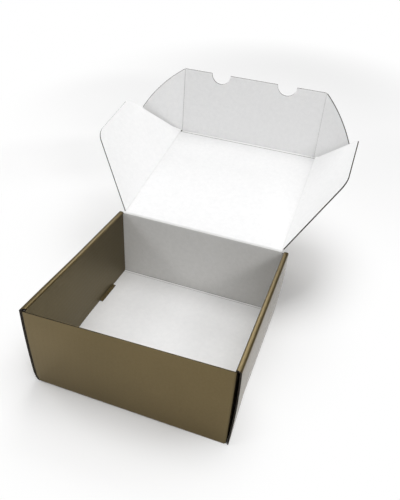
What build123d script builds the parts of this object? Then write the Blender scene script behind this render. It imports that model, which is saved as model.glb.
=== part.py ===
from build123d import *
from math import atan2, cos, degrees, radians, sin, sqrt, tan
import os

# Sizes in millimetres. Origin at the middle of the base's underside, X along the
# front wall, Y from front to back, Z up.
WIDTH = 260.0
DEPTH = 248.0
HEIGHT = 113.0
BOARD = 1.8

# Rolled side walls: outer panel, flat roll top and inner panel around a dust flap
ROLL = 7.2
LAYER_GAP = (ROLL - 3 * BOARD) / 2
SIDE_SETBACK = 0.3
END_GAP = 0.4
FOOT_GAP = 0.4
RIM_GAP = 0.8
BEND_OUTER = 2.2
ROLL_OUTER = 1.5
BEND_INNER = 0.4
DUST_FLAP_LENGTH = 78.0

# Foot tabs of the inner panels, and their slots in the base
TAB_LENGTH = 39.0
TAB_OFFSET = 62.5
TAB_TOE = 4.0
TAB_BEND_HEIGHT = 3.4
TAB_FOOT = 0.2
SLOT_GAP = 0.5

# Creases that move: a round bead on one panel, and the next panel just clear of it
CREASE_GAP = 0.3
LID_RELIEF = 0.8

# Lid, its wings, tuck flap and ears, measured in the flat sheet from the creases
LID_DEPTH = 234.0
LID_HALF_WIDTH = 120.3
WING_REACH = 106.0
WING_REAR_SETBACK = 2.5
WING_REAR_SLANT = 69.5
WING_FRONT_SETBACK = 4.0
WING_FRONT_SLANT = 54.5
WING_CORNER = 8.0
TUCK_HEIGHT = 109.5
TUCK_INSET = 2.3
NOTCH_RADIUS = 15.8
NOTCH_OFFSET = 55.3
EAR_ARC_RADIUS = 181.0
EAR_ARC_INSET = 79.0
EAR_FOOT = 1.6
EAR_RISE = 24.0
EAR_TURN = 30.0
EAR_TURN_RISE = 38.4
EAR_CORNER = 7.0

# Fold angles at rest, in degrees from the flat sheet; the lid's is above level
LID_ANGLE = 12.6
TUCK_ANGLE = 78.5
WING_LEFT_ANGLE = 49.3
WING_RIGHT_ANGLE = 53.7
EAR_LEFT_ANGLE = 36.0
EAR_RIGHT_ANGLE = 40.0

HALF_W = WIDTH / 2
HALF_D = DEPTH / 2
INNER_X = HALF_W - ROLL
WALL_END = HALF_W - BOARD - LAYER_GAP
RIM = HEIGHT - BOARD - RIM_GAP
BEAD = BOARD / 2
HINGE_Y = HALF_D - BEAD
HINGE_Z = HEIGHT - BEAD
FLAP_START = BEAD + CREASE_GAP
TUCK_HALF_WIDTH = LID_HALF_WIDTH - TUCK_INSET


def outline(points, radii):
    """A flat face with the given corners, each rounded by its own radius."""
    face = make_face(Polyline(*points, close=True))
    for point, radius in zip(points, radii):
        if radius:
            corner = face.vertices().sort_by_distance((point[0], point[1], 0))[0]
            face = fillet(corner, radius)
    return face


def both_sides(shape):
    return shape + mirror(shape, Plane.YZ)


def block(x, y, z):
    """A box between two values on each axis."""
    middle = Pos((x[0] + x[1]) / 2, (y[0] + y[1]) / 2, (z[0] + z[1]) / 2)
    return middle * Box(x[1] - x[0], y[1] - y[0], z[1] - z[0])


def rolled_walls():
    """Base, outer walls, roll tops and inner panels as one folded section."""
    right = [
        (HALF_W, 0),
        (HALF_W, HEIGHT),
        (INNER_X, HEIGHT),
        (INNER_X, BOARD + FOOT_GAP),
        (INNER_X + BOARD, BOARD + FOOT_GAP),
        (INNER_X + BOARD, HEIGHT - BOARD),
        (HALF_W - BOARD, HEIGHT - BOARD),
        (HALF_W - BOARD, BOARD),
    ]
    rounds = [BEND_OUTER, ROLL_OUTER, ROLL_OUTER, 0, 0, BEND_INNER, BEND_INNER, BEND_INNER]
    left = [(-x, z) for x, z in reversed(right)]
    section = outline(right + left, rounds + rounds[::-1])
    walls = extrude(Plane.XZ * section, HALF_D - SIDE_SETBACK, both=True)
    inner_end = HALF_D - BOARD - END_GAP
    trim_x = (INNER_X - 1, INNER_X + BOARD + LAYER_GAP / 2)
    trim_z = (BOARD + FOOT_GAP / 2, HEIGHT - BOARD)
    trim = block(trim_x, (inner_end, HALF_D), trim_z)
    trims = both_sides(trim + mirror(trim, Plane.XZ))
    return walls - trims


def cross_walls():
    """Base with the single front and back walls folded up from it."""
    section = outline(
        [
            (-HALF_D, 0),
            (HALF_D, 0),
            (HALF_D, RIM),
            (HALF_D - BOARD, RIM),
            (HALF_D - BOARD, BOARD),
            (BOARD - HALF_D, BOARD),
            (BOARD - HALF_D, RIM),
            (-HALF_D, RIM),
        ],
        [BEND_OUTER, BEND_OUTER, 0, 0, BEND_INNER, BEND_INNER, 0, 0],
    )
    return extrude(Plane.YZ * section, WALL_END - BEND_OUTER, both=True)


def dust_flaps():
    """Front wall's ends folded back between the layers of the side walls."""
    flap_end = DUST_FLAP_LENGTH - HALF_D
    right = [
        (WALL_END, -HALF_D),
        (WALL_END, flap_end),
        (WALL_END - BOARD, flap_end),
        (WALL_END - BOARD, BOARD - HALF_D),
    ]
    rounds = [BEND_OUTER, 0, 0, BEND_INNER]
    left = [(-x, y) for x, y in reversed(right)]
    section = outline(right + left, rounds + rounds[::-1])
    foot = BOARD + FOOT_GAP
    return Pos(0, 0, foot) * extrude(section, RIM - foot)


def hinge_bead():
    """Top of the back wall: a round bead that the lid turns on."""
    section = Pos(HINGE_Y, RIM / 2 + HINGE_Z / 2) * Rectangle(BOARD, HINGE_Z - RIM)
    section += Pos(HINGE_Y, HINGE_Z) * Circle(BEAD)
    return extrude(Plane.YZ * section, LID_HALF_WIDTH, both=True)


def bottom_round():
    """What rounds the bottom edge of the side walls' front ends."""
    section = Rectangle(BEND_OUTER, BEND_OUTER, align=(Align.MIN, Align.MIN))
    section -= Pos(BEND_OUTER, BEND_OUTER) * Circle(BEND_OUTER)
    return extrude(Plane.YZ * Pos(-HALF_D, 0) * section, HALF_W + 1, both=True)


def foot_tab():
    """Tab at the foot of the right inner panel, its toe turned into the box."""
    toe_x = INNER_X - TAB_TOE
    section = outline(
        [
            (INNER_X + BOARD, TAB_BEND_HEIGHT + 1),
            (INNER_X, TAB_BEND_HEIGHT + 1),
            (INNER_X, TAB_BEND_HEIGHT),
            (toe_x, TAB_FOOT),
            (toe_x + 1.5 * BOARD, TAB_FOOT),
            (INNER_X + BOARD, TAB_BEND_HEIGHT - 0.5 * BOARD),
        ],
        [0, 0, BEND_INNER, 0, 0, BEND_INNER],
    )
    return Pos(0, TAB_OFFSET, 0) * extrude(Plane.XZ * section, TAB_LENGTH / 2, both=True)


def make_tray():
    flaps = dust_flaps()
    rounds = bottom_round()
    tray = rolled_walls() + cross_walls() + flaps + mirror(flaps, Plane.XZ)
    tray -= rounds + mirror(rounds, Plane.XZ)
    slot_half = TAB_LENGTH / 2 + SLOT_GAP
    slot = block(
        (INNER_X - TAB_TOE - SLOT_GAP, INNER_X + BOARD + SLOT_GAP),
        (TAB_OFFSET - slot_half, TAB_OFFSET + slot_half),
        (-1, BOARD),
    )
    tab = foot_tab()
    tray -= both_sides(slot + mirror(slot, Plane.XZ))
    tray += both_sides(tab + mirror(tab, Plane.XZ))
    return tray + hinge_bead()


def beaded_panel(half_width, far):
    """A flat panel with a round bead along each side."""
    across = SlotOverall(2 * (half_width + BEAD), BOARD)
    return Pos(0, far, 0) * extrude(Plane.XZ * across, far - FLAP_START)


def make_lid_panel():
    """Beads for the wings and the tuck flap; cut back below, so it can pass level."""
    section = outline(
        [
            (FLAP_START, 0),
            (FLAP_START + LID_RELIEF, -BEAD),
            (LID_DEPTH, -BEAD),
            (LID_DEPTH, BEAD),
            (FLAP_START, BEAD),
        ],
        [0, 0, 0, 0, 0],
    )
    section += Pos(LID_DEPTH, 0) * Circle(BEAD)
    across = extrude(Plane.YZ * section, LID_HALF_WIDTH + BOARD, both=True)
    return beaded_panel(LID_HALF_WIDTH, LID_DEPTH + BEAD) & across


def make_wing():
    """Right wing, flat, from its crease outwards."""
    rear = WING_REAR_SETBACK
    front = LID_DEPTH - WING_FRONT_SETBACK
    share = FLAP_START / WING_REACH
    shape = outline(
        [
            (FLAP_START, rear + share * WING_REAR_SLANT),
            (WING_REACH, rear + WING_REAR_SLANT),
            (WING_REACH, front - WING_FRONT_SLANT),
            (FLAP_START, front - share * WING_FRONT_SLANT),
        ],
        [0, WING_CORNER, WING_CORNER, 0],
    )
    return Pos(0, 0, -BEAD) * extrude(shape, BOARD)


def make_tuck_flap():
    panel = beaded_panel(TUCK_HALF_WIDTH, TUCK_HEIGHT)
    notch = Pos(NOTCH_OFFSET, TUCK_HEIGHT, 0) * Cylinder(NOTCH_RADIUS, 2 * BOARD)
    return panel - both_sides(notch)


def make_ear():
    """Right ear, flat: a lower edge that turns up, and one long arc to the free edge."""
    centre_x = -EAR_ARC_INSET
    centre_y = TUCK_HEIGHT - sqrt(EAR_ARC_RADIUS**2 - EAR_ARC_INSET**2)
    rise = radians(EAR_TURN_RISE)
    foot = (FLAP_START, EAR_FOOT)
    turn = (EAR_TURN, EAR_FOOT + (EAR_TURN - FLAP_START) * tan(radians(EAR_RISE)))
    away_x = turn[0] - centre_x
    away_y = turn[1] - centre_y
    along = away_x * cos(rise) + away_y * sin(rise)
    reach = sqrt(along**2 + EAR_ARC_RADIUS**2 - away_x**2 - away_y**2) - along
    tip = (turn[0] + reach * cos(rise), turn[1] + reach * sin(rise))
    top = (FLAP_START, centre_y + sqrt(EAR_ARC_RADIUS**2 - (foot[0] - centre_x) ** 2))
    low_turn = atan2(tip[1] - centre_y, tip[0] - centre_x)
    high_turn = atan2(top[1] - centre_y, top[0] - centre_x)
    sweep = degrees(high_turn - low_turn)
    arc = CenterArc((centre_x, centre_y), EAR_ARC_RADIUS, degrees(low_turn), sweep)
    edges = Polyline(top, foot, turn, tip) + arc
    shape = make_face(edges)
    shape = fillet(shape.vertices().sort_by_distance((tip[0], tip[1], 0))[0], EAR_CORNER)
    return Pos(0, 0, -BEAD) * extrude(shape, BOARD)


# Rest poses: each flap turns about its own crease, carried by the panel before it
lid_frame = Pos(0, HINGE_Y, HINGE_Z) * Rot(LID_ANGLE, 0, 0)
tuck_frame = lid_frame * Pos(0, LID_DEPTH, 0) * Rot(TUCK_ANGLE, 0, 0)
wing = make_wing()
ear = make_ear()
nodes = {
    "tray": make_tray(),
    "lid_panel": lid_frame * make_lid_panel(),
    "lid_wing_left": lid_frame
    * Pos(-LID_HALF_WIDTH, 0, 0)
    * Rot(0, WING_LEFT_ANGLE, 0)
    * mirror(wing, Plane.YZ),
    "lid_wing_right": lid_frame * Pos(LID_HALF_WIDTH, 0, 0) * Rot(0, -WING_RIGHT_ANGLE, 0) * wing,
    "tuck_flap": tuck_frame * make_tuck_flap(),
    "tuck_ear_left": tuck_frame
    * Pos(-TUCK_HALF_WIDTH, 0, 0)
    * Rot(0, EAR_LEFT_ANGLE, 0)
    * mirror(ear, Plane.YZ),
    "tuck_ear_right": tuck_frame * Pos(TUCK_HALF_WIDTH, 0, 0) * Rot(0, -EAR_RIGHT_ANGLE, 0) * ear,
}

os.makedirs("parts", exist_ok=True)
for name, shape in nodes.items():
    export_step(shape, "parts/" + name + ".step")
    print(name, len(shape.solids()), "solid", round(shape.volume), "mm3", shape.is_valid)
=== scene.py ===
from math import ceil, cos, exp, pi, radians, sin, sqrt, tan

import bmesh
import bpy
from mathutils import Matrix, Vector


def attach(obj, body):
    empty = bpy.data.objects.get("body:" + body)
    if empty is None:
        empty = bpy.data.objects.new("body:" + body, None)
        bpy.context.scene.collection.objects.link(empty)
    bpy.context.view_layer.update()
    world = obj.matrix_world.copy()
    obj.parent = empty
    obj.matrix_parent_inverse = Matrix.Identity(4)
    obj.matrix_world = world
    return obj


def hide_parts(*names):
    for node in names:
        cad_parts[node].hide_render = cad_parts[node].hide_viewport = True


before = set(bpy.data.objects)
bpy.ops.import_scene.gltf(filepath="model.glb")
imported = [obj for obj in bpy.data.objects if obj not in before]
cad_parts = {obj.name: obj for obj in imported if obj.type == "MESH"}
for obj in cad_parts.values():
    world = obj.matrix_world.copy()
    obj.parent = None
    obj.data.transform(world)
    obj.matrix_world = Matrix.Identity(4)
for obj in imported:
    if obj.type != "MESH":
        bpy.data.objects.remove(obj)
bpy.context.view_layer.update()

# Sizes in millimetres and angles in degrees, as in the part's source
WIDTH = 260.0
DEPTH = 248.0
HEIGHT = 113.0
BOARD = 1.8
ROLL = 7.2
SIDE_SETBACK = 0.3
END_GAP = 0.4
FOOT_GAP = 0.4
RIM_GAP = 0.8
BEND = 2.2
DUST_FLAP_LENGTH = 78.0
TAB_LENGTH = 39.0
TAB_OFFSET = 62.5
TAB_TOE = 4.0
SLOT_GAP = 0.5
CREASE_GAP = 0.3
LID_RELIEF = 0.8
LID_DEPTH = 234.0
LID_HALF_WIDTH = 120.3
WING_REACH = 106.0
WING_REAR_SETBACK = 2.5
WING_REAR_SLANT = 69.5
WING_FRONT_SETBACK = 4.0
WING_FRONT_SLANT = 54.5
TUCK_HEIGHT = 109.5
TUCK_INSET = 2.3
NOTCH_RADIUS = 15.8
NOTCH_OFFSET = 55.3
EAR_ARC_RADIUS = 181.0
EAR_ARC_INSET = 79.0
EAR_FOOT = 1.6
EAR_RISE = 24.0
EAR_TURN = 30.0
LID_ANGLE = 12.6
TUCK_ANGLE = 78.5
WING_LEFT_ANGLE = 49.3
WING_RIGHT_ANGLE = 53.7
EAR_LEFT_ANGLE = 36.0
EAR_RIGHT_ANGLE = 40.0

# The wings' corners and the ears' tips, nearer to the photograph than in the part's source
WING_REAR_CORNER = 24.0
WING_LEFT_FRONT_CORNER = 15.0
WING_RIGHT_FRONT_CORNER = 3.0
EAR_TURN_RISE = 36.0
EAR_CORNER = 3.0
EAR_TIP_TURN = 88.0

# Places that follow from the sizes
HALF_W = WIDTH / 2
HALF_D = DEPTH / 2
INNER_X = HALF_W - ROLL
WALL_END = HALF_W - BOARD - (ROLL - 3 * BOARD) / 2
RIM = HEIGHT - BOARD - RIM_GAP
FOOT = BOARD + FOOT_GAP
BEAD = BOARD / 2
HINGE_Y = HALF_D - BEAD
HINGE_Z = HEIGHT - BEAD
FLAP_START = BEAD + CREASE_GAP
TUCK_HALF_WIDTH = LID_HALF_WIDTH - TUCK_INSET
LID_FRAME = Matrix.Translation((0, HINGE_Y, HINGE_Z)) @ Matrix.Rotation(radians(LID_ANGLE), 4, "X")
TUCK_FRAME = LID_FRAME @ Matrix.Translation((0, LID_DEPTH, 0)) @ Matrix.Rotation(radians(TUCK_ANGLE), 4, "X")

# How far the folded walls have settled from square, and where in the tray each change starts
PINCH = 7.0
PINCH_FALL = 0.13
PINCH_CURVE = 0.00046
PINCH_START = (-85.0, 20.0)
RIGHT_LEAN = 5.0
RIGHT_LEAN_POWER = 1.5
RIGHT_LEAN_AT_FRONT = 0.3
RIGHT_LEAN_START_X = 80.0
RIGHT_LEAN_FULL_Y = -40.0
SWELL = 1.6
SWELL_LOST_AT_BACK = 0.5
FRONT_LEAN = 7.3
FRONT_LEAN_OUT = 1.0
FRONT_LEAN_LEFT_X = -110.0
FRONT_LEAN_SPAN = 237.0
FRONT_LEAN_START_Y = 70.0
BACK_LEAN = 6.5
BACK_LEAN_START_Y = 30.0
DENT = 5.0
DENT_HEIGHT = 9.0
DENT_START = (-112.0, -95.0)
FRONT_SLOT = 2.6
FRONT_SLOT_START_X = 60.0
LEFT_ROLL_SLANT = 4.0
RIGHT_ROLL_SLANT = 2.0
SLANT_START = 1.0
SLANT_END = 9.0

# Foot tabs in section: how far their root and tip lie past the panel's face and the toe, and how high
TAB_ROOT = (0.4, 4.4)
TAB_TIP = (0.6, 0.15)

# The board's cut edges: two liners with a fluted core set between them
LINER = 0.3
CORE = 0.22
CORE_FRONT = 0.06
CORE_OVERLAP = 0.05
GROOVE = 1.1
FLUTE_PITCH = 3.4

# Lines pressed into the liner beside the folds, and the nick at the lid's front left corner
SCORE_DEPTH = 0.42
SCORE_WIDTH = 0.55
SCORE_OFFSET = 1.7
FRONT_SCORE_OFFSET = 4.5
FRONT_SCORE_HALF = 0.7
SCORE_STATIONS = (0.6, 1.0, 1.35, 1.7, 2.05, 2.4, 3.0)
NICK_WIDTH = 2.5
NICK_DEPTH = 3.2

# Mesh steps, rows as shares of a panel's height, and how near two places count as one
LONG_STEP = 12.0
WING_STEP = 8.0
EAR_STEP = 4.0
TAB_STEP = 2.0
FIRST_STEP = 0.5
BEND_STEPS = 5
EDGE_STRIPS = 5
WAVE_STEPS = 8
NOTCH_STEPS = 24
CORNER_STEPS = 12
TIP_STEPS = 11
WALL_ROWS = (0.0, 0.008, 0.016, 0.024, 0.032, 0.06, 0.12, 0.25, 0.4, 0.55, 0.7, 0.85, 0.95, 1.0)
TUCK_ROWS = (0.0, 0.01, 0.1, 0.25, 0.4, 0.55, 0.7, 0.82, 0.92, 0.99, 1.0)
WING_ROWS = (0.0, 0.02, *(k / 16 for k in range(1, 16)), 0.98, 1.0)
EAR_ROWS = tuple(k / 12 for k in range(13))
TAB_ROWS = tuple(k / 6 for k in range(7))
JUMP = 0.02
MATCH = 0.01
REPEAT = 0.005
ROUNDING = 1e-9
SHARP_ANGLE = 32.0
MM_PER_M = 1000
MM_PER_UV = 100

# Finishes by number, and each kind of edge as a profile of inset and height with its strips' finishes
# The tray's inside finishes and the lid's white are darker copies that paint shade; the pressed finish adds
# painted crease shade
GOLD, WHITE, CUT_EDGE_AND_SHADE, FLUTE, PRESSED_AND_SHADED, GOLD_SHADED_INSIDE, WHITE_SHADED_INSIDE, WHITE_LID_SHADED = range(8)
CUT_PROFILE = ((0, 0), (0, LINER), (GROOVE, LINER), (GROOVE, BOARD - LINER), (0, BOARD - LINER), (0, BOARD))
FLAT_PROFILE = tuple((0, BOARD * k / EDGE_STRIPS) for k in range(EDGE_STRIPS + 1))
BEAD_TURNS = [radians(180 * k / EDGE_STRIPS - 90) for k in range(EDGE_STRIPS + 1)]
BEAD_PROFILE = tuple((-BEAD * cos(turn), BEAD + BEAD * sin(turn)) for turn in BEAD_TURNS)
EDGES = {
    "cut": (CUT_PROFILE, (CUT_EDGE_AND_SHADE, FLUTE, FLUTE, FLUTE, CUT_EDGE_AND_SHADE)),
    "worn": (CUT_PROFILE, (GOLD, FLUTE, FLUTE, FLUTE, GOLD)),
    "flat": (FLAT_PROFILE, (GOLD, GOLD, WHITE, WHITE, WHITE)),
    "bead": (BEAD_PROFILE, (GOLD, GOLD, WHITE, WHITE, WHITE)),
    # The crease's last strip is crushed liner with painted crease shade along the fold
    "crease": (BEAD_PROFILE, (GOLD, GOLD, WHITE, WHITE, PRESSED_AND_SHADED)),
}

# The liner beside the front and back folds: reach from the wall, height over the base, and finish; the
# pressed lines' finish is crushed liner with painted crease shade
RIDGE_END = 0.5
RIDGE = (
    (-0.2, -0.2, WHITE),
    (3.7, -0.2, WHITE),
    (3.7, 0.03, PRESSED_AND_SHADED),
    (3.1, 0.05, WHITE),
    (2.5, 0.5, WHITE),
    (1.0, 0.75, WHITE),
    (0.4, 0.6, PRESSED_AND_SHADED),
    (0.05, 1.3, WHITE),
    (-0.2, 1.3, WHITE),
)

# Look of the film and paper: range of the noises, gloss, bump heights in metres, and tints
NOISE_LOW = 0.3
NOISE_HIGH = 0.7
FIBRE_HIGH = 0.6
GLOSS_SWING = 0.04
FILM_BUMP = 0.00003
LINER_BUMP = 0.00004
PAPER_BUMP = 0.00005
FLUTE_WAVE_SCALE = 5 * pi / FLUTE_PITCH
UNTINTED = (1.0, 1.0, 1.0)
GRAIN_TINT = (0.9, 0.9, 0.9)
FIBRE_TINT = (0.97, 0.967, 0.963)

# Floor and sky: half the floor's width in metres, the sky's light, and where a patch reaches full strength
FLOOR_COLOUR = (0.94, 0.94, 0.94, 1)
FLOOR_HALF = 40
SKY = 0.24
PATCH_FULL = 0.7

# Patches where the camera sees the floor's own shade: centre and radii in metres, turn and strength
SHADED = (
    ((-0.03, -0.13), (0.24, 0.15), 0, 0.85),
    ((0.0, 0.1), (0.27, 0.34), 0, 0.5),
    ((0.09, 0.29), (0.2, 0.24), 0, 0.9),
    ((-0.2, 0.3), (0.2, 0.28), -20, 0.5),
    ((-0.44, 0.45), (0.34, 0.16), 38, 0.9),
    ((-0.1, 1.1), (0.7, 0.95), 0, 0.55),
    ((-0.5, 0.85), (0.3, 0.4), 0, 0.5),
    ((0.3, 0.7), (0.25, 0.4), 0, 0.35),
)

# Soft lamps: name, place, target and size in metres, and watts
LAMPS = (
    ("soft_top", (0.2, 0.2, 1.9), (0.0, 0.15, 0.0), (1.5, 1.5), 16.3),
    ("soft_front_right", (1.05, -1.0, 1.0), (0, 0.2, 0.15), (0.5, 0.4), 7.0),
    ("soft_front_left", (-1.05, -1.0, 1.0), (0, 0.2, 0.15), (0.5, 0.4), 4.2),
    ("soft_left", (-1.5, 0.2, 1.4), (0, 0.15, 0.1), (0.8, 1.2), 6.5),
    ("soft_right", (1.5, 0.2, 1.4), (0, 0.15, 0.1), (0.8, 1.2), 3.6),
    ("soft_back", (-0.5, 1.5, 1.6), (0, 0.0, 0.1), (1.0, 0.7), 9.0),
)

# Camera: place in millimetres, turns, and focal length in pixels of a frame 400 pixels wide
CAMERA_PLACE = Vector((188.6, -505.6, 521.0))
YAW = radians(-16.56)
PITCH = radians(33.87)
TILT = radians(-5.038)
FOCAL_PIXELS = 535.0
FRAME_WIDTH = 400
SENSOR_WIDTH = 36.0


def ease(start, end, value):
    """A smooth share from 0 at start to 1 at end."""
    share = min(1.0, max(0.0, (value - start) / (end - start)))
    return share * share * (3 - 2 * share)


def steps(start, end, longest):
    """Evenly spaced values from start up to, but not including, end."""
    count = max(1, ceil(abs(end - start) / longest))
    return [start + (end - start) * k / count for k in range(count)]


def stations(start, end, longest, *extra):
    """Values from start to end with no step above longest, and the extra ones among them."""
    marks = sorted({start, end, *extra})
    found = []
    for a, b in zip(marks, marks[1:]):
        found += steps(a, b, longest)
    return found + [end]


def apart(values):
    """The values in order, without any that all but repeats the one before it."""
    ordered = sorted(set(values))
    return [v for k, v in enumerate(ordered) if k == 0 or v - ordered[k - 1] > REPEAT]


def arc_marks(centre, radius, start, end, count):
    """Places across an arc, at equal steps of its angle."""
    turns = [start + (end - start) * k / count for k in range(count + 1)]
    return [centre + radius * sin(radians(turn)) for turn in turns]


def score(distance, offset=SCORE_OFFSET):
    """How deep the creasing rule has pressed the liner, by distance from the fold."""
    return SCORE_DEPTH * exp(-(((distance - offset) / SCORE_WIDTH) ** 2))


def score_marks(half_width):
    """Places beside both side folds, close enough together to shape the pressed lines."""
    return [side * (half_width - gap) for side in (-1, 1) for gap in SCORE_STATIONS]


def settle(x, y, z):
    """How the folded board has settled: walls lean or swell a little, and one corner is pinched."""
    rise = z / HEIGHT
    front = ease(FRONT_LEAN_START_Y, -HALF_D, y)
    back = ease(BACK_LEAN_START_Y, HALF_D, y)
    pinch = PINCH - PINCH_FALL * z + PINCH_CURVE * z * z
    pinch *= ease(PINCH_START[0], -HALF_W, x) * ease(PINCH_START[1], -HALF_D, y)
    dent = DENT * max(0.0, 1 - z / DENT_HEIGHT) ** 2
    dent *= ease(DENT_START[0], -HALF_W, x) * ease(DENT_START[1], -HALF_D, y)
    lean = RIGHT_LEAN * (1 - rise) ** RIGHT_LEAN_POWER * ease(RIGHT_LEAN_START_X, HALF_W, x)
    lean *= RIGHT_LEAN_AT_FRONT + (1 - RIGHT_LEAN_AT_FRONT) * ease(-HALF_D, RIGHT_LEAN_FULL_Y, y)
    swell = SWELL * sin(pi * min(1.0, max(0.0, rise))) * (1 - SWELL_LOST_AT_BACK * back)
    swell *= ease(INNER_X + 2 * BOARD, HALF_W - BOARD, x)
    front_lean = FRONT_LEAN * (x - FRONT_LEAN_LEFT_X) / FRONT_LEAN_SPAN - FRONT_LEAN_OUT
    moved_y = y + front * rise * front_lean + back * (1 - rise) * BACK_LEAN
    return Vector((x + pinch + dent + swell - lean, moved_y, z))


class Route:
    """A line with left-hand bends in one plane, which the board's outer face follows."""

    def __init__(self, corners, radius):
        self.parts = []
        self.length = 0.0
        self.bends = []
        corners = [Vector(c) for c in corners]
        here = corners[0]
        for k in range(1, len(corners)):
            along = (corners[k] - corners[k - 1]).normalized()
            bent = k < len(corners) - 1
            stop = corners[k] - along * radius if bent else corners[k]
            run = (stop - here).length
            self.parts.append((self.length, run, here, along, None))
            self.length += run
            if bent:
                left = Vector((-along.y, along.x))
                centre = stop + left * radius
                turn = radius * pi / 2
                self.parts.append((self.length, turn, centre, along, radius))
                self.bends.append((self.length, self.length + turn))
                self.length += turn
                here = centre + along * radius

    def at(self, s):
        """The point of the outer face at s, and the direction from it into the board."""
        part = self.parts[0]
        for candidate in self.parts:
            if s >= candidate[0] - ROUNDING:
                part = candidate
        start, run, origin, along, radius = part
        left = Vector((-along.y, along.x))
        if radius is None:
            return origin + along * (s - start), left
        turn = (s - start) / radius
        inward = left * cos(turn) - along * sin(turn)
        return origin - inward * radius, inward

    def columns(self, longest):
        """Places along the line, close together round its bends."""
        found = []
        for start, run, origin, along, radius in self.parts:
            found += steps(start, start + run, run / BEND_STEPS if radius else longest)
        return found + [self.length]


def as_given(i, j, kind):
    """The plain finish of a panel's cell: gold below and white above."""
    return kind


def lid_finish(i, j, kind):
    """The plain finish with a darker copy of the white liner above, painted shade on the lid, tuck and ears
    beside the wings' lighter white.
    """
    return WHITE_LID_SHADED if kind == WHITE else kind


class Board:
    """Panels of board gathered into one mesh, with each point's place in the flat sheet."""

    def __init__(self):
        self.points = []
        self.flat = []
        self.faces = []
        self.kinds = []

    def point(self, place, s, v, w):
        """Add the point that a place function gives, and return its number."""
        self.points.append(place(s, v, w))
        self.flat.append((s, v))
        return len(self.points) - 1

    def face(self, corners, kind):
        """Add a face through numbered points, in a finish."""
        self.faces.append(corners)
        self.kinds.append(kind)

    def tube(self, rings, kinds, cap):
        """A closed tube through rings of points, with a finish for each side and for the ends."""
        for a, b in zip(rings, rings[1:]):
            for m, kind in enumerate(kinds):
                n = (m + 1) % len(kinds)
                self.face([a[m], b[m], b[n], a[n]], kind)
        self.face(rings[0][::-1], cap)
        self.face(rings[-1], cap)

    def panel(self, columns, low, high, rows, place, edge, holes=(), finish=as_given):
        """A sheet between two lines: gold below, white above, and an edge profile all round."""
        flat = [[(s, low(s) + share * (high(s) - low(s))) for share in rows] for s in columns]
        skins = [self.skin(flat, place, w, kind, holes, finish) for kind, w in ((GOLD, 0.0), (WHITE, BOARD))]
        self.hole_walls(skins, holes)
        self.rim(flat, skins, place, edge)

    def skin(self, flat, place, w, kind, holes, finish):
        """One side of a panel: its points by column and row, with a face for each cell but the holes."""
        grid = [[self.point(place, s, v, w) for s, v in column] for column in flat]
        for i, (a, b) in enumerate(zip(grid, grid[1:])):
            for j in range(len(a) - 1):
                if (i, j) not in holes:
                    self.face([a[j], b[j], b[j + 1], a[j + 1]], finish(i, j, kind))
        return grid

    def hole_walls(self, skins, holes):
        """The cut edges round a panel's holes."""
        below, above = skins
        for i, j in holes:
            corners = ((i, j), (i + 1, j), (i + 1, j + 1), (i, j + 1))
            beyond = ((i, j - 1), (i + 1, j), (i, j + 1), (i - 1, j))
            for k, other in enumerate(beyond):
                if other not in holes:
                    a, b = corners[k]
                    c, d = corners[(k + 1) % len(corners)]
                    self.face([below[a][b], below[c][d], above[c][d], above[a][b]], CUT_EDGE_AND_SHADE)

    def rim(self, flat, skins, place, edge):
        """The edge profile that joins a panel's two sides all round."""
        last_i = len(flat) - 1
        last_j = len(flat[0]) - 1
        loop = [(i, 0, "low") for i in range(last_i)]
        loop += [(last_i, j, "end") for j in range(last_j)]
        loop += [(i, last_j, "high") for i in range(last_i, 0, -1)]
        loop += [(0, j, "start") for j in range(last_j, 0, -1)]
        rings = []
        for k, (i, j, side) in enumerate(loop):
            before = loop[k - 1]
            after = loop[(k + 1) % len(loop)]
            here = Vector(flat[i][j])
            along = Vector(flat[after[0]][after[1]]) - Vector(flat[before[0]][before[1]])
            inward = Vector((-along.y, along.x)).normalized()
            name = edge(side, here.x, here.y)
            ring = [skins[0][i][j]]
            for inset, w in EDGES[name][0][1:EDGE_STRIPS]:
                spot = here + inward * inset
                ring.append(self.point(place, spot.x, spot.y, w))
            ring.append(skins[1][i][j])
            rings.append((here, inward, name, ring))
        for k, (here, inward, name, ring) in enumerate(rings):
            there, their_inward, their_name, their_ring = rings[(k + 1) % len(rings)]
            alike = name == their_name
            profile, kinds = EDGES[name if alike else "flat"]
            for m, kind in enumerate(kinds):
                self.face([ring[m], their_ring[m], their_ring[m + 1], ring[m + 1]], kind)
            if alike and profile is CUT_PROFILE:
                self.core(place, here, inward, there, their_inward)

    def core(self, place, start, start_in, end, end_in):
        """The fluted core's end between two points of a cut edge, as a waved ribbon."""
        waves = abs(end.x - start.x) / FLUTE_PITCH
        count = max(1, ceil(waves * WAVE_STEPS), ceil((end - start).length / LONG_STEP))
        swing = BOARD / 2 - LINER - CORE / 2
        core_back = GROOVE + CORE_OVERLAP
        rings = []
        for k in range(count + 1):
            here = start.lerp(end, k / count)
            inward = start_in.lerp(end_in, k / count)
            middle = BOARD / 2 + swing * sin(2 * pi * here.x / FLUTE_PITCH)
            ring = []
            for inset, side in ((CORE_FRONT, -1), (CORE_FRONT, 1), (core_back, 1), (core_back, -1)):
                spot = here + inward * inset
                ring.append(self.point(place, spot.x, spot.y, middle + side * CORE / 2))
            rings.append(ring)
        self.tube(rings, (CUT_EDGE_AND_SHADE, FLUTE, FLUTE, FLUTE), FLUTE)

    def ridge(self, turn):
        """The liner raised in a low bead between two pressed lines, darkened with painted crease shade,
        along the front or back fold.
        """

        def place(x, k, w):
            reach, height, kind = RIDGE[k]
            return settle(x * turn, (HALF_D - BOARD - reach) * turn, BOARD + height + w)

        rings = [
            [self.point(place, x, k, 0) for k in range(len(RIDGE))]
            for x in stations(-INNER_X - RIDGE_END, INNER_X + RIDGE_END, LONG_STEP)
        ]
        self.tube(rings, [kind for reach, height, kind in RIDGE], WHITE)

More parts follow.
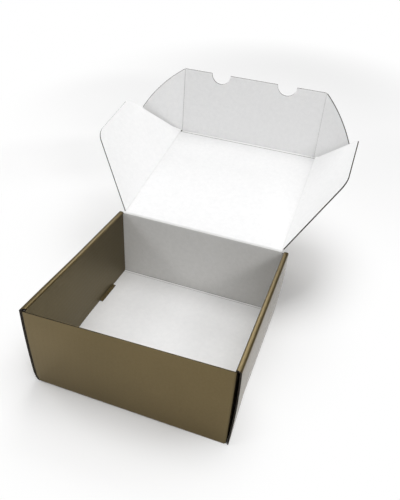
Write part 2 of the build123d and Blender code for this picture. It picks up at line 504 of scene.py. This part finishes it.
    def make(self, name, body, *nodes):
        """The gathered mesh as a piece that rides on a body and stands for CAD nodes."""
        mesh = bpy.data.meshes.new(name)
        mesh.from_pydata([Vector(p) / MM_PER_M for p in self.points], [], self.faces)
        for finish in FINISHES:
            mesh.materials.append(finish)
        mesh.polygons.foreach_set("material_index", self.kinds)
        flat = mesh.uv_layers.new(name="flat")
        for loop in mesh.loops:
            s, v = self.flat[loop.vertex_index]
            flat.data[loop.index].uv = (s / MM_PER_UV, v / MM_PER_UV)
        made = bmesh.new()
        made.from_mesh(mesh)
        bmesh.ops.recalc_face_normals(made, faces=made.faces)
        made.to_mesh(mesh)
        made.free()
        mesh.shade_smooth()
        mesh.set_sharp_from_angle(angle=radians(SHARP_ANGLE))
        piece = bpy.data.objects.new(name, mesh)
        bpy.context.collection.objects.link(piece)
        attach(piece, body)
        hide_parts(*nodes)


# Material nodes
def new_material(name):
    """A new material with its node tree and shader."""
    made = bpy.data.materials.new(name)
    made.use_nodes = True
    tree = made.node_tree
    return made, tree, tree.nodes["Principled BSDF"]


def add(tree, kind, **settings):
    """A new node with its settings."""
    node = tree.nodes.new(kind)
    for key, value in settings.items():
        setattr(node, key, value)
    return node


def set_inputs(node, values):
    """Give sockets their fixed values."""
    for name, value in values.items():
        node.inputs[name].default_value = value


def math_node(tree, operation, *values, clamp=False):
    """The result of a math node, whose values are numbers or other nodes' results."""
    node = add(tree, "ShaderNodeMath", operation=operation, use_clamp=clamp)
    for socket, value in zip(node.inputs, values):
        if isinstance(value, float):
            socket.default_value = value
        else:
            tree.links.new(value, socket)
    return node.outputs["Value"]


def noise_node(tree, place, scale, detail, roughness=0.55):
    """Cloudy noise in the object's own space."""
    node = add(tree, "ShaderNodeTexNoise")
    set_inputs(node, {"Scale": scale, "Detail": detail, "Roughness": roughness})
    tree.links.new(place, node.inputs["Vector"])
    return node.outputs["Fac"]


def tone(tree, noise, low_colour, high_colour, high=NOISE_HIGH):
    """A colour that follows a noise from one colour to another."""
    node = add(tree, "ShaderNodeValToRGB")
    stops = ((NOISE_LOW, low_colour), (high, high_colour))
    for element, (position, colour) in zip(node.color_ramp.elements, stops):
        element.position = position
        element.color = (*colour, 1)
    tree.links.new(noise, node.inputs["Fac"])
    return node.outputs["Color"]


def around(tree, noise, middle, swing):
    """A number that follows a noise a little below and above a middle value."""
    node = add(tree, "ShaderNodeMapRange")
    set_inputs(node, {"From Min": NOISE_LOW, "From Max": NOISE_HIGH})
    set_inputs(node, {"To Min": middle - swing, "To Max": middle + swing})
    tree.links.new(noise, node.inputs["Value"])
    return node.outputs["Result"]


def multiply(tree, a, b):
    """Two colours multiplied; a Mix node's colour sockets go by number."""
    node = add(tree, "ShaderNodeMix", data_type="RGBA", blend_type="MULTIPLY")
    node.inputs["Factor"].default_value = 1.0
    tree.links.new(a, node.inputs[6])
    tree.links.new(b, node.inputs[7])
    return node.outputs[2]


def bump(tree, height, distance, normal=None):
    """A bumpy normal, over another one where that is given."""
    node = add(tree, "ShaderNodeBump")
    set_inputs(node, {"Strength": 1.0, "Distance": distance})
    tree.links.new(height, node.inputs["Height"])
    if normal:
        tree.links.new(normal, node.inputs["Normal"])
    return node.outputs["Normal"]


def make_gold_film(name, dark, light, coat, rough):
    """Gold laminate: satin, a little uneven, with the flutes just showing through."""
    made, tree, shader = new_material(name)
    place = add(tree, "ShaderNodeTexCoord").outputs["Object"]
    broad = noise_node(tree, place, scale=9.0, detail=2.0)
    fine = noise_node(tree, place, scale=420.0, detail=4.0)
    colour = multiply(tree, tone(tree, broad, dark, light), tone(tree, fine, GRAIN_TINT, UNTINTED))
    tree.links.new(colour, shader.inputs["Base Color"])
    tree.links.new(around(tree, fine, rough, GLOSS_SWING), shader.inputs["Roughness"])
    set_inputs(shader, {"Metallic": 0.92, "Coat Weight": coat, "Coat IOR": 1.13, "Coat Roughness": 0.1})
    wave = add(tree, "ShaderNodeTexWave", bands_direction="X", wave_profile="SIN")
    set_inputs(wave, {"Scale": FLUTE_WAVE_SCALE, "Distortion": 0.4})
    tree.links.new(add(tree, "ShaderNodeUVMap", uv_map="flat").outputs["UV"], wave.inputs["Vector"])
    flutes = bump(tree, wave.outputs["Fac"], FILM_BUMP)
    tree.links.new(bump(tree, fine, FILM_BUMP, flutes), shader.inputs["Normal"])
    return made


def make_white_liner(name, dark, light):
    """White paper liner: matt, with faint cloudy fibre."""
    made, tree, shader = new_material(name)
    place = add(tree, "ShaderNodeTexCoord").outputs["Object"]
    cloud = noise_node(tree, place, scale=160.0, detail=5.0, roughness=0.65)
    fibre = noise_node(tree, place, scale=1100.0, detail=3.0)
    specks = tone(tree, fibre, FIBRE_TINT, UNTINTED, FIBRE_HIGH)
    tree.links.new(multiply(tree, tone(tree, cloud, dark, light), specks), shader.inputs["Base Color"])
    set_inputs(shader, {"Roughness": 0.7, "Specular IOR Level": 0.35})
    tree.links.new(bump(tree, fibre, LINER_BUMP), shader.inputs["Normal"])
    return made


def make_paper(name, dark, light, scale):
    """Raw paper of the cut edges and the pressed lines; the pressed lines' darker tone is partly painted
    crease shade.
    """
    made, tree, shader = new_material(name)
    place = add(tree, "ShaderNodeTexCoord").outputs["Object"]
    mottle = noise_node(tree, place, scale=scale, detail=4.0)
    tree.links.new(tone(tree, mottle, dark, light), shader.inputs["Base Color"])
    set_inputs(shader, {"Roughness": 0.85})
    tree.links.new(bump(tree, mottle, PAPER_BUMP), shader.inputs["Normal"])
    return made


# In the order of the finishes' numbers
FINISHES = (
    make_gold_film("gold_film", (0.148, 0.111, 0.049), (0.166, 0.124, 0.056), coat=0.9, rough=0.34),
    make_white_liner("white_liner", (0.91, 0.912, 0.915), (0.96, 0.96, 0.96)),
    # Dark cut-edge paper, also laid on the white just inside the double walls' open front ends as painted
    # shade
    make_paper("cut_edge_and_shade", (0.035, 0.028, 0.02), (0.07, 0.057, 0.041), scale=500.0),
    make_paper("flute_paper", (0.02, 0.016, 0.011), (0.04, 0.033, 0.023), scale=500.0),
    # Crushed liner along the pressed lines, darkened further as painted crease shade
    make_paper("pressed_liner_and_shade", (0.36, 0.355, 0.345), (0.43, 0.425, 0.415), scale=300.0),
    # Painted shade: a darker gold, without the coat, for the tray's inner panels and the bends to the dust
    # flaps
    make_gold_film("gold_film_shaded_inside", (0.128, 0.1, 0.046), (0.142, 0.111, 0.052), coat=0.0, rough=0.4),
    # Painted shade: a darker white for the inside of the tray's front and back walls and their dust flaps
    make_white_liner("white_liner_shaded_inside", (0.655, 0.653, 0.64), (0.705, 0.7, 0.69)),
    # Painted shade: a darker copy of the white liner for the lid, tuck and ears, so the wings and the lid's
    # front strip in plain white show painted light
    make_white_liner("white_liner_lid_shaded", (0.835, 0.837, 0.84), (0.885, 0.885, 0.885)),
)


# Tray
def add_side_strip(board):
    """The strip across the tray: inner panels, rolls, side walls and base, with slots for the tabs."""
    right = [(HALF_W, 0), (HALF_W, HEIGHT), (INNER_X, HEIGHT), (INNER_X, FOOT)]
    left = [(-x, z) for x, z in reversed(right)]
    route = Route(left + right, BEND)
    centre = route.length / 2
    roll_start = route.bends[0][0]
    roll_end = route.bends[5][1]
    base_start = route.bends[2][0]
    base_end = route.bends[3][1]
    wall_y = HALF_D - SIDE_SETBACK
    base_y = HALF_D - BEND

    def reach(s):
        """Half the strip's width, which is less at the inner panels and at the base."""
        if s < roll_start or s > roll_end:
            return HALF_D - BOARD - END_GAP
        if base_start <= s <= base_end:
            rise = BEND - min(route.at(s)[0].y, BEND)
            return min(wall_y, base_y + sqrt(BEND**2 - rise**2))
        return wall_y

    def front_end(s):
        """The front end, where the rolls are cut a little aslant."""
        if not roll_start <= s <= roll_end:
            return -reach(s)
        slant = ease(roll_start + SLANT_END, roll_start + SLANT_START, s) * LEFT_ROLL_SLANT
        slant += ease(roll_end - SLANT_END, roll_end - SLANT_START, s) * RIGHT_ROLL_SLANT
        return slant - reach(s)

    def place(s, v, w):
        spot, inward = route.at(s)
        spot = spot + inward * w
        return settle(spot.x, v, spot.y)

    def edge(side, s, v):
        """Cut edges, except where the base runs on into the front and back walls."""
        return "flat" if route.bends[2][1] - MATCH <= s <= route.bends[3][0] + MATCH else "cut"

    slots = (INNER_X - TAB_TOE - SLOT_GAP, INNER_X + BOARD + SLOT_GAP)
    marks = [roll_start - JUMP, roll_end + JUMP]
    marks += [centre + side * x for x in slots for side in (-1, 1)]
    columns = apart(route.columns(LONG_STEP) + marks)
    slot_half = TAB_LENGTH / 2 + SLOT_GAP
    slot_ends = [side * TAB_OFFSET + end * slot_half for side in (-1, 1) for end in (-1, 1)]
    levels = stations(-base_y, base_y, LONG_STEP, *slot_ends)
    rows = [(y + base_y) / (2 * base_y) for y in levels]
    holes = {
        (i, j)
        for i, (a, b) in enumerate(zip(columns, columns[1:]))
        if slots[0] < abs((a + b) / 2 - centre) < slots[1]
        for j, (c, d) in enumerate(zip(levels, levels[1:]))
        if abs(abs((c + d) / 2) - TAB_OFFSET) < slot_half
    }

    def finish(i, j, kind):
        """Painted shade: the inner panels' darker gold, and the dark cut-edge finish laid on the white just
        inside the double walls' open front ends.
        """
        if kind == GOLD:
            return GOLD if roll_start <= columns[i] < roll_end else GOLD_SHADED_INSIDE
        on_base = base_start <= columns[i] < base_end
        return CUT_EDGE_AND_SHADE if j == 0 and not on_base else WHITE

    board.panel(columns, front_end, reach, rows, place, edge, holes, finish)


def add_wall(board, turn):
    """The front wall, or turned about as the back wall that carries the lid, with its two dust flaps."""
    hinged = turn == -1
    flap_y = HALF_D - DUST_FLAP_LENGTH
    plan = [(-WALL_END, -flap_y), (-WALL_END, -HALF_D), (WALL_END, -HALF_D), (WALL_END, -flap_y)]
    route = Route(plan, BEND)
    centre = route.length / 2
    (first_bend, wall_start), (wall_end, last_bend) = route.bends

    def under_lid(s):
        return hinged and abs(s - centre) <= LID_HALF_WIDTH

    def low(s):
        """The wall runs on round the base's bend; the dust flaps stop above the base."""
        return BEND - BEND * pi / 2 if wall_start <= s <= wall_end else FOOT

    def high(s):
        return HINGE_Z if under_lid(s) else RIM

    def place(s, v, w):
        spot, inward = route.at(s)
        fold = min(pi / 2, max(0.0, (BEND - v) / BEND))
        depth = BEND * (1 - cos(fold)) + w * cos(fold)
        height = v if fold == 0 else BEND - BEND * sin(fold) + w * sin(fold)
        spot = spot + inward * depth
        slot = 0.0 if hinged else FRONT_SLOT * height / RIM * ease(FRONT_SLOT_START_X, WALL_END, spot.x)
        return settle(spot.x * turn - slot, spot.y * turn, height)

    def edge(side, s, v):
        if side == "low" and wall_start <= s <= wall_end:
            return "flat"
        if side != "high":
            return "cut"
        return "bead" if under_lid(s) else "worn"

    marks = [wall_start - JUMP, wall_end + JUMP]
    if hinged:
        ends = (-LID_HALF_WIDTH, LID_HALF_WIDTH)
        marks += [centre + end + step for end in ends for step in (-JUMP, 0, JUMP)]
    columns = apart(route.columns(LONG_STEP) + marks)

    def finish(i, j, kind):
        """Painted shade: the tray's darker white inside, and darker gold round the bends to the dust flaps.
        """
        if kind == WHITE:
            return WHITE_SHADED_INSIDE
        bent = first_bend <= columns[i] < wall_start or wall_end <= columns[i] < last_bend
        return GOLD_SHADED_INSIDE if bent else GOLD

    board.panel(columns, low, high, WALL_ROWS, place, edge, finish=finish)


def add_tab(board, side, end):
    """A foot tab that slants from an inner panel's foot down into its slot."""
    start = Vector((INNER_X + TAB_ROOT[0], TAB_ROOT[1]))
    tip = Vector((INNER_X - TAB_TOE - TAB_TIP[0], TAB_TIP[1]))
    along = (tip - start).normalized()
    inward = Vector((-along.y, along.x))
    half = TAB_LENGTH / 2

    def place(s, v, w):
        spot = start + along * s + inward * w
        return settle(side * spot.x, end * TAB_OFFSET + v, spot.y)

    columns = stations(0.0, (tip - start).length, TAB_STEP)
    board.panel(columns, lambda s: -half, lambda s: half, TAB_ROWS, place, lambda *spot: "cut")


def make_tray():
    """The whole folded tray as one piece."""
    board = Board()
    add_side_strip(board)
    for turn in (1, -1):
        add_wall(board, turn)
    for side in (-1, 1):
        for end in (-1, 1):
            add_tab(board, side, end)
    for turn in (1, -1):
        board.ridge(turn)
    board.make("tray_board", "tray", "tray")


# Lid, tuck flap, wings and ears, each in the frame of its own crease
def make_lid():
    """The lid's main panel, with a pressed line beside each fold."""
    board = Board()
    line = LID_DEPTH - FRONT_SCORE_OFFSET
    line_start = line - FRONT_SCORE_HALF
    line_end = line + FRONT_SCORE_HALF
    nick_start = LID_DEPTH - NICK_DEPTH

    def place(s, v, w):
        relief = max(0.0, FLAP_START + LID_RELIEF - v) * max(0.0, 1 - w / BEAD)
        pressed = max(score(LID_HALF_WIDTH - abs(s)), score(LID_DEPTH - v, FRONT_SCORE_OFFSET), score(v))
        return LID_FRAME @ Vector((s, v + relief, w - BEAD - pressed * ease(BEAD, BOARD, w)))

    def edge(side, s, v):
        if v < FLAP_START + MATCH:
            return "flat"
        return "crease" if side == "high" else "bead"

    columns = stations(-LID_HALF_WIDTH, LID_HALF_WIDTH, LONG_STEP, *score_marks(LID_HALF_WIDTH))
    marks = [line_start, line, line_end, nick_start, LID_DEPTH - BEAD]
    marks += [gap for gap in SCORE_STATIONS if gap >= SCORE_OFFSET]
    levels = stations(FLAP_START, LID_DEPTH, LONG_STEP, *marks)
    rows = [(v - FLAP_START) / (LID_DEPTH - FLAP_START) for v in levels]

    def finish(i, j, kind):
        """A pressed line before the front fold, darkened with painted crease shade, and a nick where that
        meets the left fold; between the line and the fold the plain, lighter white is painted light.
        """
        if kind == GOLD:
            return GOLD
        if columns[i + 1] < NICK_WIDTH - LID_HALF_WIDTH and levels[j] > nick_start - MATCH:
            return FLUTE
        if levels[j] > line_end - MATCH:
            return WHITE
        return PRESSED_AND_SHADED if levels[j] > line_start - MATCH else WHITE_LID_SHADED

    board.panel(columns, lambda s: FLAP_START, lambda s: LID_DEPTH, rows, place, edge, finish=finish)
    board.make("lid_board", "lid_panel", "lid_panel")


def make_tuck():
    """The tuck flap, with two thumb notches in its free edge."""
    board = Board()

    def place(s, v, w):
        pressed = score(TUCK_HALF_WIDTH - abs(s)) * ease(BEAD, BOARD, w)
        return TUCK_FRAME @ Vector((s, v, w - BEAD - pressed))

    def high(s):
        across = abs(abs(s) - NOTCH_OFFSET)
        if across >= NOTCH_RADIUS:
            return TUCK_HEIGHT
        return TUCK_HEIGHT - sqrt(NOTCH_RADIUS**2 - across**2)

    def edge(side, s, v):
        if v < FLAP_START + MATCH:
            return "flat"
        return "cut" if side == "high" else "crease"

    marks = score_marks(TUCK_HALF_WIDTH)
    for side in (-1, 1):
        marks += arc_marks(side * NOTCH_OFFSET, NOTCH_RADIUS, -90, 90, NOTCH_STEPS)
    columns = stations(-TUCK_HALF_WIDTH, TUCK_HALF_WIDTH, LONG_STEP, *marks)
    board.panel(columns, lambda s: FLAP_START, high, TUCK_ROWS, place, edge, finish=lid_finish)
    board.make("tuck_board", "tuck_flap", "tuck_flap")


def swung(base, half_width, side, angle):
    """Where the points of a wing or ear go, swung up about a side crease of the panel beside it."""
    crease = base @ Matrix.Translation((side * half_width, 0, 0))
    crease = crease @ Matrix.Rotation(radians(-side * angle), 4, "Y")

    def place(s, v, w):
        return crease @ Vector((side * s, v, w - BEAD))

    return place


def side_edge(side, s, v):
    """A wing's or ear's edge: flat along its crease and cut elsewhere."""
    return "flat" if side == "start" else "cut"


def wing_edge(setback, slant, corner):
    """A wing's slanted edge as a line, rounded where it meets the free end."""
    slope = slant / WING_REACH
    stretch = sqrt(1 + slope**2)
    centre = WING_REACH - corner
    level = setback + slope * centre + corner * stretch
    touch = centre + corner * slope / stretch

    def line(s):
        if s <= touch:
            return setback + slope * s
        return level - sqrt(max(0.0, corner**2 - (s - centre) ** 2))

    return line


def make_wing(name, side, angle, front_corner):
    """A wing of the lid, whose rear and front edges slant towards each other."""
    board = Board()
    place = swung(LID_FRAME, LID_HALF_WIDTH, side, angle)
    rear = wing_edge(WING_REAR_SETBACK, WING_REAR_SLANT, WING_REAR_CORNER)
    front = wing_edge(WING_FRONT_SETBACK - LID_DEPTH, WING_FRONT_SLANT, front_corner)
    marks = [FLAP_START + FIRST_STEP]
    for corner in (WING_REAR_CORNER, front_corner):
        marks += arc_marks(WING_REACH - corner, corner, 0, 90, CORNER_STEPS)
    columns = stations(FLAP_START, WING_REACH, WING_STEP, *marks)
    board.panel(columns, rear, lambda s: -front(s), WING_ROWS, place, side_edge)
    board.make(name + "_board", name, name)


def make_ear(name, side, angle):
    """A round ear of the tuck flap: a lower edge of two slopes, a long arc and a rounded tip."""
    board = Board()
    place = swung(TUCK_FRAME, TUCK_HALF_WIDTH, side, angle)
    arc_level = TUCK_HEIGHT - sqrt(EAR_ARC_RADIUS**2 - EAR_ARC_INSET**2)
    first_slope = tan(radians(EAR_RISE))
    slope = tan(radians(EAR_TURN_RISE))
    squared = 1 + slope**2
    turn_v = EAR_FOOT + first_slope * (EAR_TURN - FLAP_START)
    low_start = turn_v - slope * EAR_TURN

    # The tip's centre lies a corner's radius inside both the second slope and the arc
    inner_radius = EAR_ARC_RADIUS - EAR_CORNER
    inner_start = low_start + EAR_CORNER * sqrt(squared)
    offset = inner_start - arc_level
    half = EAR_ARC_INSET + slope * offset
    rest = EAR_ARC_INSET**2 + offset**2 - inner_radius**2
    tip_s = (-half + sqrt(half**2 - squared * rest)) / squared
    tip_v = slope * tip_s + inner_start
    low_touch = tip_s + EAR_CORNER * sin(radians(EAR_TURN_RISE))
    high_touch = tip_s + (tip_s + EAR_ARC_INSET) * EAR_CORNER / inner_radius

    def low(s):
        if s <= EAR_TURN:
            return EAR_FOOT + first_slope * (s - FLAP_START)
        if s <= low_touch:
            return low_start + slope * s
        return tip_v - sqrt(EAR_CORNER**2 - (s - tip_s) ** 2)

    def high(s):
        if s <= high_touch:
            return arc_level + sqrt(EAR_ARC_RADIUS**2 - (s + EAR_ARC_INSET) ** 2)
        return tip_v + sqrt(EAR_CORNER**2 - (s - tip_s) ** 2)

    marks = arc_marks(tip_s, EAR_CORNER, 0, EAR_TIP_TURN, TIP_STEPS)
    columns = stations(FLAP_START, marks[-1], EAR_STEP, FLAP_START + FIRST_STEP, EAR_TURN, *marks)
    board.panel(columns, low, high, EAR_ROWS, place, side_edge, finish=lid_finish)
    board.make(name + "_board", name, name)


# Floor, light and camera
def shade_patch(tree, place, centre, radii, turn, strength):
    """How much of its own shade the floor keeps in one soft elliptical patch."""
    patch = add(tree, "ShaderNodeMapping", vector_type="TEXTURE")
    set_inputs(patch, {"Location": (*centre, 0), "Rotation": (0, 0, radians(turn)), "Scale": (*radii, 1)})
    tree.links.new(place, patch.inputs["Vector"])
    falloff = add(tree, "ShaderNodeTexGradient", gradient_type="SPHERICAL")
    tree.links.new(patch.outputs["Vector"], falloff.inputs["Vector"])
    soft = add(tree, "ShaderNodeMapRange", interpolation_type="SMOOTHSTEP")
    set_inputs(soft, {"From Max": PATCH_FULL, "To Max": strength})
    tree.links.new(falloff.outputs["Fac"], soft.inputs["Value"])
    return soft.outputs["Result"]


def make_floor():
    """A pale floor, white before the camera except in the patches that keep their shade."""
    made, tree, shader = new_material("floor")
    set_inputs(shader, {"Base Color": FLOOR_COLOUR, "Roughness": 0.9, "Specular IOR Level": 0.0})
    place = add(tree, "ShaderNodeTexCoord").outputs["Object"]
    shaded, *others = [shade_patch(tree, place, *patch) for patch in SHADED]
    for patch in others:
        shaded = math_node(tree, "ADD", shaded, patch)
    white = math_node(tree, "SUBTRACT", 1.0, shaded, clamp=True)
    camera_ray = add(tree, "ShaderNodeLightPath").outputs["Is Camera Ray"]
    mix = add(tree, "ShaderNodeMixShader")
    tree.links.new(math_node(tree, "MULTIPLY", white, camera_ray), mix.inputs["Fac"])
    tree.links.new(shader.outputs["BSDF"], mix.inputs[1])
    tree.links.new(add(tree, "ShaderNodeEmission").outputs["Emission"], mix.inputs[2])
    tree.links.new(mix.outputs["Shader"], tree.nodes["Material Output"].inputs["Surface"])
    mesh = bpy.data.meshes.new("floor")
    corners = [(x * FLOOR_HALF, y * FLOOR_HALF, 0) for x, y in ((-1, -1), (1, -1), (1, 1), (-1, 1))]
    mesh.from_pydata(corners, [], [(0, 1, 2, 3)])
    mesh.materials.append(made)
    floor = bpy.data.objects.new("floor", mesh)
    bpy.context.collection.objects.link(floor)


def make_world():
    """Even light from all round, seen by the camera as white."""
    world = bpy.data.worlds.new("studio")
    world.use_nodes = True
    tree = world.node_tree
    sky = tree.nodes["Background"]
    sky.inputs["Color"].default_value = (1, 1, 1, 1)
    camera_ray = add(tree, "ShaderNodeLightPath").outputs["Is Camera Ray"]
    tree.links.new(math_node(tree, "MULTIPLY_ADD", camera_ray, 1 - SKY, SKY), sky.inputs["Strength"])
    bpy.context.scene.world = world


def make_lamp(name, place, target, size, watts):
    """A rectangular soft lamp that looks at its target."""
    light = bpy.data.lights.new(name, "AREA")
    light.shape = "RECTANGLE"
    light.size, light.size_y = size
    light.energy = watts
    made = bpy.data.objects.new(name, light)
    made.location = place
    made.rotation_euler = (Vector(target) - Vector(place)).to_track_quat("-Z", "Y").to_euler()
    bpy.context.collection.objects.link(made)


def make_camera():
    """The photograph's camera, from its place and turns."""
    forward = Vector((sin(YAW) * cos(PITCH), cos(YAW) * cos(PITCH), -sin(PITCH)))
    level = Vector((cos(YAW), -sin(YAW), 0))
    under = forward.cross(level)
    right = cos(TILT) * level + sin(TILT) * under
    down = cos(TILT) * under - sin(TILT) * level
    data = bpy.data.cameras.new("camera")
    data.sensor_fit = "HORIZONTAL"
    data.sensor_width = SENSOR_WIDTH
    data.lens = SENSOR_WIDTH * FOCAL_PIXELS / FRAME_WIDTH
    camera = bpy.data.objects.new("camera", data)
    axes = Matrix((right, -down, -forward)).transposed().to_4x4()
    camera.matrix_world = Matrix.Translation(CAMERA_PLACE / MM_PER_M) @ axes
    bpy.context.collection.objects.link(camera)
    bpy.context.scene.camera = camera
    bpy.context.scene.view_settings.view_transform = "Standard"


make_tray()
make_lid()
make_tuck()
make_wing("lid_wing_left", -1, WING_LEFT_ANGLE, WING_LEFT_FRONT_CORNER)
make_wing("lid_wing_right", 1, WING_RIGHT_ANGLE, WING_RIGHT_FRONT_CORNER)
make_ear("tuck_ear_left", -1, EAR_LEFT_ANGLE)
make_ear("tuck_ear_right", 1, EAR_RIGHT_ANGLE)
make_floor()
make_world()
for lamp in LAMPS:
    make_lamp(*lamp)
make_camera()
